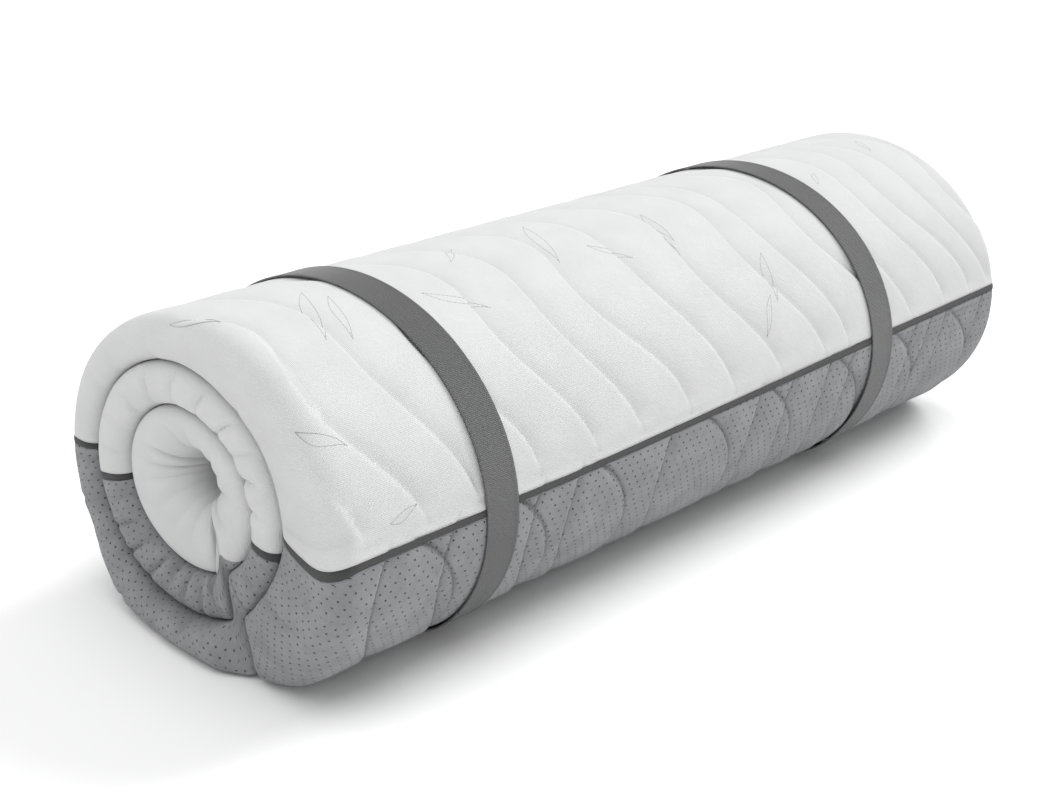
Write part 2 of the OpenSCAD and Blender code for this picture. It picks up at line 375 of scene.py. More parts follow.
def edge_reach(winding, thickness):
    """How far the slab's edge is rounded along the roll, on its outer side and on its inner side."""
    outer_turn = smooth((winding - TAIL_START) / OUTER_TURN_GROWS) * fading(winding, *OUTER_TURN_FADES)
    wide = np.clip(OUTER_EDGE_REACH * thickness, OUTER_EDGE_MIN, OUTER_EDGE_MAX)
    corner = near_to(winding, [SEAM_OUTER_FRONT], FRONT_CORNER_SPREAD)
    wide = (1 - corner) * wide + corner * FRONT_CORNER_REACH
    outer_side = outer_turn * wide + (1 - outer_turn) * INNER_EDGE_REACH
    pressed = near_to(winding, STEPS_OUTSIDE, STEP_SPREAD)
    outer_side = (1 - pressed) * outer_side + pressed * PRESSED_REACH
    core = smooth((winding - SEAM_CORE) / 40)
    funnel = FUNNEL_REACH + FUNNEL_LEAN * np.cos(np.radians(TAIL_ANGLE - winding - FUNNEL_TOWARDS))
    inner_side = (1 - core) * INNER_EDGE_REACH + core * funnel
    pressed = near_to(winding, STEPS_INSIDE, STEP_SPREAD)
    return outer_side, (1 - pressed) * inner_side + pressed * PRESSED_REACH


def superellipse(phi):
    """Point (out, across) on the rounded edge and its normal, for phi from 0 at the outer face to pi."""
    p = 2 / EDGE_SHAPE
    c, s = np.cos(phi), np.sin(phi)
    out, side = np.abs(s) ** p, np.sign(c) * np.abs(c) ** p
    normal_out, normal_side = np.abs(s) ** (2 - p), np.sign(c) * np.abs(c) ** (2 - p)
    return out, side, normal_out, normal_side


class Columns:
    """Where the vertices lie round the slab's section: from the middle of its inner face to the near edge,
    the outer face, the far edge and back."""

    def __init__(self, outer_step, inner_step, edge_count):
        half_inner = np.linspace(0, 1, int(LENGTH / inner_step / 2) + 1)
        n_outer = int(LENGTH / outer_step)
        flat_outer = np.linspace(-1, 1, n_outer + n_outer % 2 + 1)
        phi = np.linspace(0, np.pi, 2 * (edge_count // 2) + 1)[1:-1]
        self.u = np.concatenate([-half_inner, phi * 0 - 1, flat_outer, phi * 0 + 1, half_inner[::-1]])[:-1]
        self.phi = np.concatenate([half_inner * 0 + np.pi, phi[::-1], flat_outer * 0, phi,
                                   half_inner * 0 + np.pi])[:-1]
        self.middle = len(half_inner) + len(phi) + len(flat_outer) // 2
        self.even()

    def even(self):
        """Drops one hidden column where the count is odd, so that the cover's inside can have half."""
        if len(self.u) % 2:
            self.u, self.phi = self.u[:-1], self.phi[:-1]
        self.count = len(self.u)

    def coarse(self):
        """Every second column, for the cover's inside."""
        half = Columns.__new__(Columns)
        half.u, half.phi, half.middle = self.u[::2], self.phi[::2], self.middle // 2
        half.count = len(half.u)
        return half


def seam_drift(winding, x, v, out):
    """How the seams leave their straight lines: the front one drops towards the near end, the core's one
    slants across the slab, and the two outer bindings are narrower on the round face than on the ends."""
    front = SEAM_DRIFT_MEAN + SEAM_DRIFT * np.maximum(x, SEAM_LEVEL_FROM) / (LENGTH / 2)
    front = front - SEAM_END_DROP * out**2 * (x < 0)
    drift = front * np.exp(-(((winding - SEAM_OUTER_FRONT) / SEAM_DRIFT_SPREAD) ** 2))
    step_share = 0.5 - np.sin(np.arcsin(1 - 2 * np.clip(v, 0, 1)) / 3)      # where the step is 1 - v done
    core = CORE_SEAM_AT - SEAM_CORE - STEP_IN * step_share + CORE_SEAM_OUT * np.clip(1 - v, 0, 1) ** 4
    drift = drift + core * np.exp(-(((winding - SEAM_CORE) / CORE_SEAM_SPREAD) ** 2))
    for seam in (SEAM_OUTER_FRONT, SEAM_OUTER_BACK):
        off = winding - seam
        pinch = BINDING_PINCH * off * np.exp(-((off / BINDING_PINCH_SPREAD) ** 2))
        drift = drift - pinch * (1 - smooth(out / 0.8))
    return drift


def end_bulge(winding, end, v):
    """How far the outer turn's end stands out: at the near end under the roll and at its front, and at the
    far end all round and more at the top. It fades where the turn begins and where it steps in."""
    angle = np.radians(TAIL_ANGLE - winding)
    outer = smooth((winding - TAIL_START) / BULGE_GROWS) * fading(winding, *BULGE_FADES)
    under = NEAR_BULGE * np.clip(1.25 * np.cos(angle - UNDER_ANGLE) - 0.35, 0, 1)
    front = FRONT_BULGE * np.clip(1.6 * np.cos(angle - FRONT_ANGLE) - 0.6, 0, 1)
    front = front * (1 - smooth(v / FRONT_BULGE_ACROSS))
    top = FAR_TOP_BULGE * np.clip(np.sin(angle), 0, 1)
    return np.where(end > 0, FAR_BULGE + outer * top, outer * np.maximum(under, front))


def section(windings, columns, inset, relief=None, end_gap=0.0):
    """Rows of points round the slab, an inset inside its faces, with a relief on them, and how far each
    point lies along the outer face and along the cloth from the roll's middle."""
    inset = np.broadcast_to(np.asarray(inset, float), windings.shape)[:, None]
    out, side, normal_out, normal_side = superellipse(columns.phi[None, :])
    w = windings[:, None] + np.zeros((1, columns.count))
    w = w + seam_drift(w, columns.u[None, :] * LENGTH / 2, (1 - side) / 2, out)
    f0, f1 = face(w), face(w + 360)
    thickness = np.linalg.norm(f1 - f0, axis=-1)
    across = (f1 - f0) / thickness[..., None]
    half = thickness / 2 - inset
    end = np.sign(columns.u)[None, :]
    reach_outer, reach_inner = edge_reach(w, thickness)
    reach_far = np.maximum(reach_outer * FAR_EDGE_SHARE, OUTER_EDGE_MIN)
    reach_outer = np.where((end > 0) & (w < OUTER_TURN_END), reach_far, reach_outer)
    edge = np.maximum(np.where(side > 0, reach_outer, reach_inner) - inset, SMALLEST_EDGE)
    flat = LENGTH / 2 + end_bulge(w, end, (1 - side) / 2) - inset - end_gap - edge
    x = columns.u[None, :] * flat + end * out * edge
    middle = (f0 + f1) / 2
    yz = middle - (side * half)[..., None] * across
    normal_x = end * normal_out / edge
    normal_side = normal_side / half
    size = np.hypot(normal_x, normal_side)
    normal_x, normal_side = normal_x / size, normal_side / size
    if relief is not None:
        height = relief(w, x, out, side)
        x = x + height * normal_x
        yz = yz - (height * normal_side)[..., None] * across
    points = np.stack([x, yz[..., 0], yz[..., 1] + CENTRE_Z], -1)
    steps = np.linalg.norm(np.diff(points, axis=1), axis=-1)
    cloth = np.concatenate([np.zeros((len(windings), 1)), np.cumsum(steps, axis=1)], 1)
    return points, arc(w), cloth - cloth[:, columns.middle:columns.middle + 1]


def cover_relief(piece, face_share=1.0, end_share=1.0):
    """Relief of the cover's outside, or shares of it for its inside."""
    def relief(w, x, out, side):
        v, s = (1 - side) / 2, arc(w)
        rounded = smooth(out / FACE_FADE_AT)
        is_outer = (side > -0.2) & (w < 362)
        faces = np.where(is_outer, quilting(s, x) + soft_lumps(s, x, LUMPS), 0) * (1 - FACE_FADE * rounded)
        ends = end_relief(w, v, s, x, piece) * rounded
        return face_share * (faces - LUMPS) + end_share * ends
    return relief


# ---- meshes ----
def add_mesh(name, points, faces, uv=None, smooth_shade=True):
    mesh = bpy.data.meshes.new(name)
    mesh.from_pydata((np.asarray(points).reshape(-1, 3) * MM).tolist(), [], faces)
    mesh.validate()
    if uv is not None:
        layer = mesh.uv_layers.new(name="cloth")
        corners = np.zeros(len(mesh.loops), np.int64)
        mesh.loops.foreach_get("vertex_index", corners)
        layer.data.foreach_set("uv", (np.asarray(uv).reshape(-1, 2)[corners] * MM).ravel())
    mesh.polygons.foreach_set("use_smooth", [smooth_shade] * len(mesh.polygons))
    mesh.update()
    piece = bpy.data.objects.new(name, mesh)
    bpy.context.scene.collection.objects.link(piece)
    return piece


def grid_faces(rows, columns, start=0, flip=False):
    """Quads of a grid whose columns close into a ring."""
    r, c = np.meshgrid(np.arange(rows - 1), np.arange(columns), indexing="ij")
    a = start + r * columns + c
    b = start + r * columns + (c + 1) % columns
    quads = np.stack([a, b, b + columns, a + columns], -1).reshape(-1, 4)
    return (quads[:, ::-1] if flip else quads).tolist()


def rim_faces(outer, inner, flip):
    """Joins a fine ring of vertices to a ring with half as many."""
    faces = []
    n = len(inner)
    for i in range(n):
        a, b, c = outer[2 * i], outer[2 * i + 1], outer[(2 * i + 2) % len(outer)]
        p, q = inner[i], inner[(i + 1) % n]
        faces += [(a, b, p), (b, c, q), (b, q, p)]
    return [f[::-1] for f in faces] if flip else faces


def rounded_nose(windings, at_start):
    """Rows for a panel that closes at one end: the last ones draw in to a rounded nose."""
    turn = np.radians([0, 15, 30, 45, 60, 75, 88])
    if at_start:
        nose = windings[0] + TAIL_NOSE_DEG * (1 - np.sin(turn[::-1]))
        plain = windings[windings > nose[-1] + 0.3]
        drawn_in = NOSE_R * (1 - np.cos(turn[::-1]))
        return np.concatenate([nose, plain]), GAP / 2 + np.concatenate([drawn_in, plain * 0])
    nose = windings[-1] + CORE_NOSE_PAST - CORE_NOSE_DEG * (1 - np.sin(turn))
    plain = windings[windings < nose[0] - 0.3]
    drawn_in = NOSE_R * (1 - np.cos(turn))
    return np.concatenate([plain, nose]), GAP / 2 + np.concatenate([plain * 0, drawn_in])


INSIDE_ROWS = 3             # the cover's inside has one row for this many outside
INSIDE_FACE_SHARE, INSIDE_END_SHARE = 0.45, 0.75    # how much of the outside's relief it follows


def cover_panel(name, start, end, columns, pitch, piece, closed_start=False, closed_end=False):
    """A stretch of the quilted cover: a shell with its outside in full detail and a plain inside."""
    windings, insets = rows_between(start, end, pitch), GAP / 2
    if closed_start or closed_end:
        windings, insets = rounded_nose(windings, closed_start)
    outside, s, unrolled = section(windings, columns, insets, cover_relief(piece))
    inner_columns = columns.coarse()
    keep = np.unique(np.append(np.arange(0, len(windings), INSIDE_ROWS), len(windings) - 1))
    inner_windings = windings[keep]
    inner_insets = (insets if np.isscalar(insets) else insets[keep]) + COVER_T
    inner_relief = cover_relief(piece, INSIDE_FACE_SHARE, INSIDE_END_SHARE)
    inside, s_in, unrolled_in = section(inner_windings, inner_columns, inner_insets, inner_relief)
    n_out = outside.shape[0] * outside.shape[1]
    faces = grid_faces(len(windings), columns.count)
    faces += grid_faces(len(inner_windings), inner_columns.count, n_out, flip=True)
    first_out, first_in = np.arange(columns.count), n_out + np.arange(inner_columns.count)
    last_out = first_out + (len(windings) - 1) * columns.count
    last_in = first_in + (len(inner_windings) - 1) * inner_columns.count
    points = np.concatenate([outside.reshape(-1, 3), inside.reshape(-1, 3)])
    uv = np.concatenate([np.stack([s, unrolled], -1).reshape(-1, 2),
                         np.stack([s_in, unrolled_in], -1).reshape(-1, 2)])
    if closed_start:
        faces.append(first_out.tolist()[::-1])
        faces.append(first_in.tolist())
    else:
        faces += rim_faces(first_out.tolist(), first_in.tolist(), flip=True)
    if closed_end:
        faces.append(last_out.tolist())
        faces.append(last_in.tolist()[::-1])
    else:
        faces += rim_faces(last_out.tolist(), last_in.tolist(), flip=False)
    panel = add_mesh(name, points, faces, uv)
    # painted shade along the seams' creases, on the outside only
    near = np.concatenate([painted_seam_shade(s, outside[..., 0]).ravel(), np.zeros(inside[..., 0].size)])
    panel.data.attributes.new("painted_seam_shade", "FLOAT", "POINT").data.foreach_set("value", near)
    return panel


def raised(height):
    """A relief that is the same height everywhere."""
    def relief(w, x, out, side):
        return x * 0 + height
    return relief


def binding(name, seam, deg_per_mm, columns):
    """A flat woven tape over a seam, slightly crowned, which goes all the way round the slab."""
    half = BINDING_W / 2 - 0.1
    across_mm = np.array([-half, -half * 0.86, -half * 0.45, 0, half * 0.45, half * 0.86, half])
    crown = np.array([-1.2, -0.2, 0.15, 0.25, 0.15, -0.2, -1.2])
    rows, uvs = [], []
    for offset, height in zip(across_mm, crown):
        winding = np.array([seam + offset * deg_per_mm])
        row, s, unrolled = section(winding, columns, GAP / 2, raised(height))
        rows.append(row[0])
        uvs.append(np.stack([s[0], unrolled[0]], -1))
    for offset in (half, -half):
        row, s, unrolled = section(np.array([seam + offset * deg_per_mm]), columns, GAP / 2 + COVER_T - 0.2)
        rows.append(row[0])
        uvs.append(np.stack([s[0], unrolled[0]], -1))
    count, ring = len(rows), columns.count
    faces = grid_faces(count, ring)
    last = (count - 1) * ring
    faces += [(last + i, last + (i + 1) % ring, (i + 1) % ring, i) for i in range(ring)]
    return add_mesh(name, np.array(rows), faces, np.array(uvs))


def foam_layer(name, start, end, depth, share_from, share_to, columns, pitch=9):
    """A foam layer or the liner: the slab's section between two shares of its thickness."""
    windings = rows_between(start, end, pitch)
    w = windings[:, None] + np.zeros((1, columns.count))
    points, s, unrolled = section(windings, columns, depth, end_gap=FOAM_END_GAP)
    f0, f1 = face(w), face(w + 360)
    thickness = np.linalg.norm(f1 - f0, axis=-1)
    across = (f1 - f0) / thickness[..., None]
    v = np.sum((points[..., 1:] - [0, CENTRE_Z] - f0) * across, -1) / thickness
    v_new = np.clip(v, share_from, share_to)
    shift = ((v_new - v) * thickness)[..., None] * across
    points[..., 1:] += shift
    faces = grid_faces(len(windings), columns.count)
    faces.append(list(range(columns.count))[::-1])
    faces.append([(len(windings) - 1) * columns.count + i for i in range(columns.count)])
    return add_mesh(name, points, faces, np.stack([s, unrolled], -1))


# ---- straps ----
STRAP_W = node_span("near_strap_webbing", 0)[1] - node_span("near_strap_webbing", 0)[0]
LAP_LOW, LAP_HIGH = -34, -14
STRAP_ROWS = 520
STRAP_LEAN = {"near": -3, "far": 0}      # how far each loop's top leans towards the far end


def outward(angle):
    v = outline(angle + 0.5) - outline(angle - 0.5)
    n = np.stack([v[..., 1], -v[..., 0]], -1)
    return n / np.linalg.norm(n, axis=-1, keepdims=True)


def webbing(name, node, top_lean):
    """A loop of woven elastic with thick selvages; its two ends lap over each other at the back."""
    centre = sum(node_span(node, 0)) / 2
    angle = LAP_LOW + np.linspace(0, 360, STRAP_ROWS, endpoint=False)
    lap = smooth((LAP_HIGH - angle) / 0.25) * smooth((angle - LAP_LOW + 0.2) / 0.25)
    half = STRAP_W / 2
    profile = [(-half, 0.45), (-half, 0.8), (-half + 0.35, 0.98), (-half + 2.4, 1.0), (-half + 3.2, 0.90)]
    profile += [(x, 0.92) for x in np.linspace(-half + 6, half - 6, 13)]
    profile += [(-x, h) for x, h in profile[4::-1]]
    profile += [(half - 0.4, 0.0), (half * 0.5, 0.0), (0, 0.0), (-half * 0.5, 0.0), (-half + 0.4, 0.0)]
    base, normal = outline(angle), outward(angle)
    rows, uvs = [], []
    run = np.concatenate([[0], np.cumsum(np.linalg.norm(np.diff(base, axis=0), axis=1))])
    for x, h in profile:
        height = STRAP_GAP + h * (STRAP_T + STRAP_T * lap * (h > 0))
        yz = base + height[:, None] * normal
        lean = top_lean * base[:, 1] / RISE
        rows.append(np.stack([centre + x + lean, yz[:, 0], yz[:, 1] + CENTRE_Z], -1))
        uvs.append(np.stack([run, np.full(len(angle), x)], -1))
    points, uv = np.array(rows), np.array(uvs)
    count, ring = len(profile), STRAP_ROWS
    faces = grid_faces(count, ring)
    last = (count - 1) * ring
    faces += [(last + i, last + (i + 1) % ring, (i + 1) % ring, i) for i in range(ring)]
    return add_mesh(name, points, faces, uv)


# ---- embroidered leaves ----
THREAD_R = 0.3
THREAD_LIFT = -0.15         # its axis lies this far below the cover's surface
LEAVES = [  # distance up from the front binding and place along the roll of the tip and the foot, and width
    (266, -97, 188, -127, 9), (199, -79, 166, -46, 7), (225, 33, 172, 25, 8), (185, 20, 146, 12, 6),
    (126, 115, 72, 96, 9), (81, 90, 42, 63, 6), (252, 462, 219, 446, 6), (208, 312, 188, 294, 5),
    (201, -295, 160, -247, 8), (255, -384, 179, -422, 10), (235, -372, 172, -398, 7),
    (262, -197, 234, -226, 6), (108, -505, 83, -470, 10), (289, -500, 242, -478, 8),
    (13, -454, 20, -422, 6), (350, -140, 410, -180, 9),
    (380, 60, 330, 95, 8), (420, 250, 360, 215, 9), (400, -330, 350, -300, 8), (340, 400, 390, 430, 7)]


def outer_point(s, cloth_x, lift):
    """Point on the outer turn's quilted face or its rounded edge, lifted off it."""
    w = winding_at(s)
    f0, f1 = face(w), face(w + 360)
    thickness = np.linalg.norm(f1 - f0, axis=-1)
    across = (f1 - f0) / thickness[..., None]
    edge, _ = edge_reach(w, thickness)
    flat = LENGTH / 2 + end_bulge(w, cloth_x, 0) - edge
    phi = np.clip((np.abs(cloth_x) - flat) / ((edge + thickness / 2) / 2), 0, 1.5)
    out, side, normal_out, normal_side = superellipse(phi)
    flat = LENGTH / 2 + end_bulge(w, cloth_x, (1 - side) / 2) - edge
    x = np.where(phi > 0, np.sign(cloth_x) * (flat + out * edge), cloth_x)
    faded = 1 - FACE_FADE * smooth(out / FACE_FADE_AT)
    height = (quilting(s, x) + soft_lumps(s, x, LUMPS)) * faded - LUMPS + lift
    normal_x, normal_side = np.sign(cloth_x) * normal_out / edge, normal_side / (thickness / 2)
    size = np.hypot(normal_x, normal_side)
    x = x + height * normal_x / size
    yz = f0 + (thickness / 2 * (1 - side) - height * normal_side / size)[..., None] * across
    return np.stack([x, yz[..., 0], yz[..., 1] + CENTRE_Z], -1)


def leaf_strokes(s0, x0, s1, x1, width):
    """The two sides of a leaf outline, each a bowed line of stitches from tip to foot."""
    t = np.linspace(0, 1, 36)
    length = math.hypot(s1 - s0, x1 - x0)
    normal = np.array([-(x1 - x0), s1 - s0]) / length
    for bow in (0.75 * width, -0.4 * width):
        off = bow * np.sin(np.pi * t ** 0.85) ** 1.3 + 0.12 * width * np.sin(2 * np.pi * t)
        yield s0 + (s1 - s0) * t + off * normal[0], x0 + (x1 - x0) * t + off * normal[1]


def embroidery():
    sides = 5
    points, faces = [], []
    for leaf in LEAVES:
        for s, x in leaf_strokes(*leaf):
            path = outer_point(s, x, THREAD_LIFT)
            tangent = np.gradient(path, axis=0)
            tangent /= np.linalg.norm(tangent, axis=1, keepdims=True)
            up = outer_point(s, x, 1 + THREAD_LIFT) - path
            up -= np.sum(up * tangent, 1, keepdims=True) * tangent
            up /= np.linalg.norm(up, axis=1, keepdims=True)
            side = np.cross(tangent, up)
            start = len(points)
            for i in range(len(path)):
                swell = THREAD_R * (0.4 + 0.6 * (i % 2))
                for j in range(sides):
                    a = 2 * np.pi * j / sides
                    points.append(path[i] + swell * (np.cos(a) * side[i] + np.sin(a) * up[i]))
            faces += grid_faces(len(path), sides, start)
            last = start + (len(path) - 1) * sides
            faces.append([start + j for j in range(sides)][::-1])
            faces.append([last + j for j in range(sides)])
    return add_mesh("cover_embroidery", points, faces)


# ---- materials ----
class Shader:
    """A node material built from short calls."""

    def __init__(self, name, roughness, sheen=0.0, metallic=0.0):
        self.material = bpy.data.materials.new(name)
        self.material.use_nodes = True
        self.nodes, self.links = self.material.node_tree.nodes, self.material.node_tree.links
        self.nodes.clear()
        self.surface = self.nodes.new("ShaderNodeBsdfPrincipled")
        self.surface.inputs["Roughness"].default_value = roughness
        self.surface.inputs["Metallic"].default_value = metallic
        self.surface.inputs["Sheen Weight"].default_value = sheen
        self.surface.inputs["Sheen Roughness"].default_value = 0.5
        self.surface.inputs["Specular IOR Level"].default_value = 0.25
        output = self.nodes.new("ShaderNodeOutputMaterial")
        self.links.new(self.surface.outputs[0], output.inputs[0])

    def put(self, socket, value):
        if isinstance(value, bpy.types.NodeSocket):
            self.links.new(value, socket)
        else:
            socket.default_value = value

    def math(self, operation, a, b=0.0):
        node = self.nodes.new("ShaderNodeMath")
        node.operation = operation
        for socket, value in zip(node.inputs, (a, b)):
            self.put(socket, value)
        return node.outputs[0]

    def coordinates(self, kind="UV"):
        node = self.nodes.new("ShaderNodeTexCoord")
        return node.outputs[kind]

    def attribute(self, name):
        node = self.nodes.new("ShaderNodeAttribute")
        node.attribute_name = name
        return node.outputs["Fac"]

    def separate(self, vector):
        node = self.nodes.new("ShaderNodeSeparateXYZ")
        self.links.new(vector, node.inputs[0])
        return node.outputs[0], node.outputs[1], node.outputs[2]

    def noise(self, vector, scale, detail=2.0, roughness=0.5):
        node = self.nodes.new("ShaderNodeTexNoise")
        self.links.new(vector, node.inputs["Vector"])
        node.inputs["Scale"].default_value = scale
        node.inputs["Detail"].default_value = detail
        node.inputs["Roughness"].default_value = roughness
        return node.outputs["Fac"]

    def mix(self, factor, low, high):
        node = self.nodes.new("ShaderNodeMix")
        node.data_type = "RGBA"
        self.put(node.inputs[0], factor)
        self.put(node.inputs[6], low)
        self.put(node.inputs[7], high)
        return node.outputs[2]

    def range(self, value, low, high, to_low=0.0, to_high=1.0):
        node = self.nodes.new("ShaderNodeMapRange")
        node.interpolation_type = "SMOOTHSTEP"
        for socket, number in zip(node.inputs, (value, low, high, to_low, to_high)):
            self.put(socket, number)
        return node.outputs[0]

    def bump(self, height, distance, strength=1.0):
        node = self.nodes.new("ShaderNodeBump")
        node.inputs["Distance"].default_value = distance
        node.inputs["Strength"].default_value = strength
        self.links.new(height, node.inputs["Height"])
        return node.outputs[0]

    def finish(self, colour, normal):
        self.put(self.surface.inputs["Base Color"], colour)
        self.put(self.surface.inputs["Normal"], normal)
        return self.material


def grey_of(value, tint=0.0):
    return (value * (1 - tint), value, value * (1 + tint), 1)


def knit_height(sh, s, x, loop_s, loop_x):
    """Rows of small knitted loops, each row shifted by half a loop."""
    a = sh.math("MULTIPLY", s, 2 * math.pi / loop_s)
    b = sh.math("MULTIPLY", x, 2 * math.pi / loop_x)
    first = sh.math("SINE", sh.math("ADD", a, b))
    second = sh.math("SINE", sh.math("SUBTRACT", a, b))
    return sh.math("MULTIPLY", first, second)


def white_knit():
    sh = Shader("white_knit", 0.82, sheen=0.15)
    uv = sh.coordinates()
    s, x, _ = sh.separate(uv)
    loops = knit_height(sh, s, x, 0.0030, 0.0026)
    cloudy = sh.noise(uv, 22, 3)
    fuzz = sh.noise(uv, 900, 2)
    tone = sh.math("ADD", sh.math("MULTIPLY", loops, 0.10), cloudy)
    colour = sh.mix(sh.range(tone, 0.2, 0.8), grey_of(0.61, 0.004), grey_of(0.65, 0.003))
    # darker along the quilting seams: painted shade of their creases
    colour = sh.mix(sh.attribute("painted_seam_shade"), colour, grey_of(0.56, 0.004))
    height = sh.math("ADD", loops, sh.math("MULTIPLY", fuzz, 0.9))
    return sh.finish(colour, sh.bump(height, 0.00022, 0.8))


def grey_knit():
    sh = Shader("grey_perforated_knit", 0.85, sheen=0.2)
    uv = sh.coordinates()
    s, x, _ = sh.separate(uv)
    loops = knit_height(sh, s, x, 0.0028, 0.0024)
    row_s, row_x, radius = 0.0072, 0.0100, 0.0012
    row = sh.math("DIVIDE", s, row_s)
    shift = sh.math("MULTIPLY", sh.math("PINGPONG", sh.math("FLOOR", row), 1.0), 0.5)
    cell_s = sh.math("SUBTRACT", sh.math("FRACT", row), 0.5)
    column = sh.math("ADD", sh.math("DIVIDE", x, row_x), shift)
    cell_x = sh.math("SUBTRACT", sh.math("FRACT", column), 0.5)
    away = sh.math("SQRT", sh.math("ADD", sh.math("POWER", sh.math("MULTIPLY", cell_s, row_s), 2),
                                   sh.math("POWER", sh.math("MULTIPLY", cell_x, row_x), 2)))
    hole = sh.range(away, radius * 0.45, radius * 1.15, 1.0, 0.0)
    worn = sh.noise(uv, 120, 2)
    hole = sh.math("MULTIPLY", hole, sh.range(worn, 0.32, 0.52, 0.25, 1.0))
    cloudy = sh.noise(uv, 30, 4, 0.6)
    tone = sh.math("ADD", sh.math("MULTIPLY", loops, 0.12), cloudy)
    cloth = sh.mix(sh.range(tone, 0.3, 0.7), grey_of(0.235, 0.03), grey_of(0.30, 0.025))
    # darker along the quilting seams: painted shade of their creases
    cloth = sh.mix(sh.attribute("painted_seam_shade"), cloth, grey_of(0.11, 0.03))
    colour = sh.mix(hole, cloth, grey_of(0.055, 0.03))
    height = sh.math("SUBTRACT", sh.math("ADD", loops, sh.math("MULTIPLY", sh.noise(uv, 900), 0.8)),
                     sh.math("MULTIPLY", hole, 5.0))
    return sh.finish(colour, sh.bump(height, 0.00025, 0.9))


def woven(name, dark, light, pitch_s, pitch_x, depth,
          tint=0.01, roughness=0.8, sheen=0.15, gloss=0.25):
    """A plain or twill weave in cloth coordinates."""
    sh = Shader(name, roughness, sheen)
    sh.surface.inputs["Specular IOR Level"].default_value = gloss
    uv = sh.coordinates()
    s, x, _ = sh.separate(uv)
    weave = knit_height(sh, s, x, pitch_s, pitch_x)
    fibre = sh.noise(uv, 700, 3)
    tone = sh.math("ADD", sh.math("MULTIPLY", weave, 0.5), fibre)
    colour = sh.mix(sh.range(tone, 0.0, 1.0), grey_of(dark, tint), grey_of(light, tint))
    height = sh.math("ADD", weave, sh.math("MULTIPLY", fibre, 0.8))
    return sh.finish(colour, sh.bump(height, depth))


def foam_material(name, low, high):
    sh = Shader(name, 0.9)
    place = sh.coordinates("Object")
    cells = sh.nodes.new("ShaderNodeTexVoronoi")
    sh.links.new(place, cells.inputs["Vector"])
    cells.inputs["Scale"].default_value = 650
    cloudy = sh.noise(place, 14, 3)
    return sh.finish(sh.mix(cloudy, low, high), sh.bump(cells.outputs["Distance"], 0.0005))


def thread_material(name, dark, light):
    sh = Shader(name, 0.6, sheen=0.1)
    place = sh.coordinates("Object")
    twist = sh.noise(place, 1500, 2)
    return sh.finish(sh.mix(twist, grey_of(dark), grey_of(light)), sh.bump(twist, 0.0002))


def coil_material():
    """The nylon coil: ridges across the chain, 1.5 mm apart."""
    sh = Shader("zip_coil", 0.4)
    x, _, _ = sh.separate(sh.coordinates("Object"))
    ridge = sh.math("SINE", sh.math("MULTIPLY", x, 2 * math.pi / 0.0015))
    # the colour follows the ridges, darker in the grooves between them: painted shade
    colour = sh.mix(sh.range(ridge, -1, 1), grey_of(0.03), grey_of(0.09))
    return sh.finish(colour, sh.bump(ridge, 0.0004))


def nickel_material():
    sh = Shader("nickel", 0.32, metallic=1.0)
    place = sh.coordinates("Object")
    brushed = sh.noise(place, 500, 4)
    return sh.finish(sh.mix(brushed, grey_of(0.48), grey_of(0.62)), sh.bump(brushed, 0.00005))


# ---- stage ----
CAMERA_AT = (-1.3332, -1.0947, 0.8108)
CAMERA_AZIMUTH, CAMERA_ELEVATION, CAMERA_ROLL = -48.68, 22.45, 3.04
CAMERA_LENS = 61.17
SENSOR_WIDTH = 36
SUNS = {  # strength, angular size in degrees and the direction that the light comes from
    "side": (2.0, 30, (0.9, -0.12, 0.8)),
    "overhead": (1.2, 70, (-0.25, 0.05, 1.0))}
SKY = 0.64
FLOOR_SIZE = 14 / MM


def make_camera():
    a, e, roll = (math.radians(v) for v in (CAMERA_AZIMUTH, CAMERA_ELEVATION, CAMERA_ROLL))
    back = Vector((math.sin(a) * math.cos(e), -math.cos(a) * math.cos(e), math.sin(e)))
    level = Vector((0, 0, 1)).cross(back).normalized()
    upright = back.cross(level)
    right = math.cos(roll) * level + math.sin(roll) * upright
    up = math.cos(roll) * upright - math.sin(roll) * level
    data = bpy.data.cameras.new("camera")
    data.lens, data.sensor_width = CAMERA_LENS, SENSOR_WIDTH
    data.clip_start, data.clip_end = 0.05, 50
    camera = bpy.data.objects.new("camera", data)
    camera.matrix_world = Matrix((right, up, back)).transposed().to_4x4()
    camera.location = CAMERA_AT
    bpy.context.scene.collection.objects.link(camera)
    bpy.context.scene.camera = camera


def make_stage():
    corners = np.array([(-1, -1, 0), (1, -1, 0), (1, 1, 0), (-1, 1, 0)]) * FLOOR_SIZE
    floor = add_mesh("floor", corners, [(0, 1, 2, 3)], smooth_shade=False)
    sh = Shader("floor_paper", 0.9)
    speck = sh.noise(sh.coordinates("Object"), 3, 2)
    paper = sh.mix(speck, grey_of(0.95), grey_of(0.96))
    floor.data.materials.append(sh.finish(paper, sh.bump(speck, 0.0001)))
    world = bpy.data.worlds.new("studio")
    world.use_nodes = True
    world.node_tree.nodes["Background"].inputs["Color"].default_value = (1, 1, 1, 1)
    world.node_tree.nodes["Background"].inputs["Strength"].default_value = SKY
    bpy.context.scene.world = world
    bpy.context.scene.view_settings.view_transform = "Standard"
    for name, (energy, softness, towards) in SUNS.items():
        sun = bpy.data.lights.new(name, "SUN")
        sun.energy, sun.angle = energy, math.radians(softness)
        lamp = bpy.data.objects.new(name, sun)
        lamp.rotation_euler = Vector(towards).to_track_quat("Z", "Y").to_euler()
        bpy.context.scene.collection.objects.link(lamp)


# ---- the object ----
def finished(piece, body, material, nodes=()):
    """Gives a piece its body and material slot, and hides the CAD nodes that it stands for."""
    piece.data.materials.clear()
    piece.data.materials.append(material)
    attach(piece, body)
    if nodes:
        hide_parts(*nodes)


